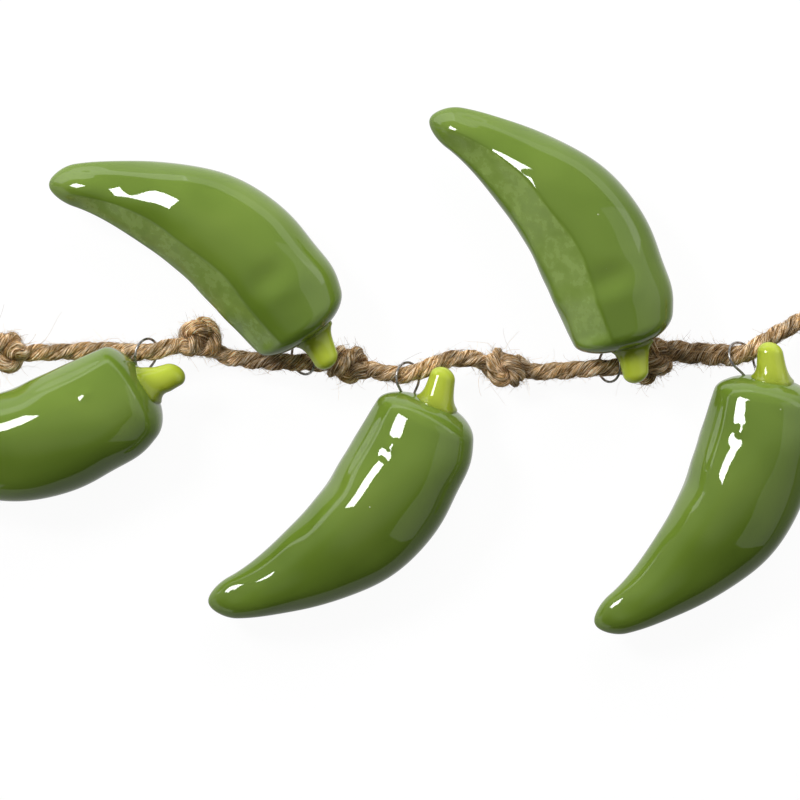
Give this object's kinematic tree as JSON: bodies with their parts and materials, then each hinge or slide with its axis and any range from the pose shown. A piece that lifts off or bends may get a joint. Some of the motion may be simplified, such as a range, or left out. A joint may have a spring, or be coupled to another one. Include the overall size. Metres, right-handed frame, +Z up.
{
  "type": "ceramic chilli garland",
  "caption": "Stretch of a kitchen garland: glossy green glazed ceramic chillies with lime stalks, hung by wire eyes on a knotted jute rope, lying flat to either side of the rope in turn.",
  "frame": {"origin": "on the surface the garland lies on, under the middle of the box around its chillies and eyes", "axes": "+X along the garland from its first chilli to its last, +Y across it in the plane it lies in, +Z up from the surface"},
  "size_m": [0.3874, 0.1975, 0.0395],
  "materials": {
    "glaze": "glossy clear glaze over green, lime stalk",
    "wire": "dull dark wire",
    "jute": "natural three-strand jute, hairy"
  },
  "bodies": {
    "root": {"chilli_1": "glaze", "chilli_2": "glaze", "chilli_3": "glaze", "chilli_4": "glaze", "chilli_5": "glaze", "eye_1": "wire", "eye_2": "wire", "eye_3": "wire", "eye_4": "wire", "eye_5": "wire", "rope": "jute"}
  },
  "joints": []
}
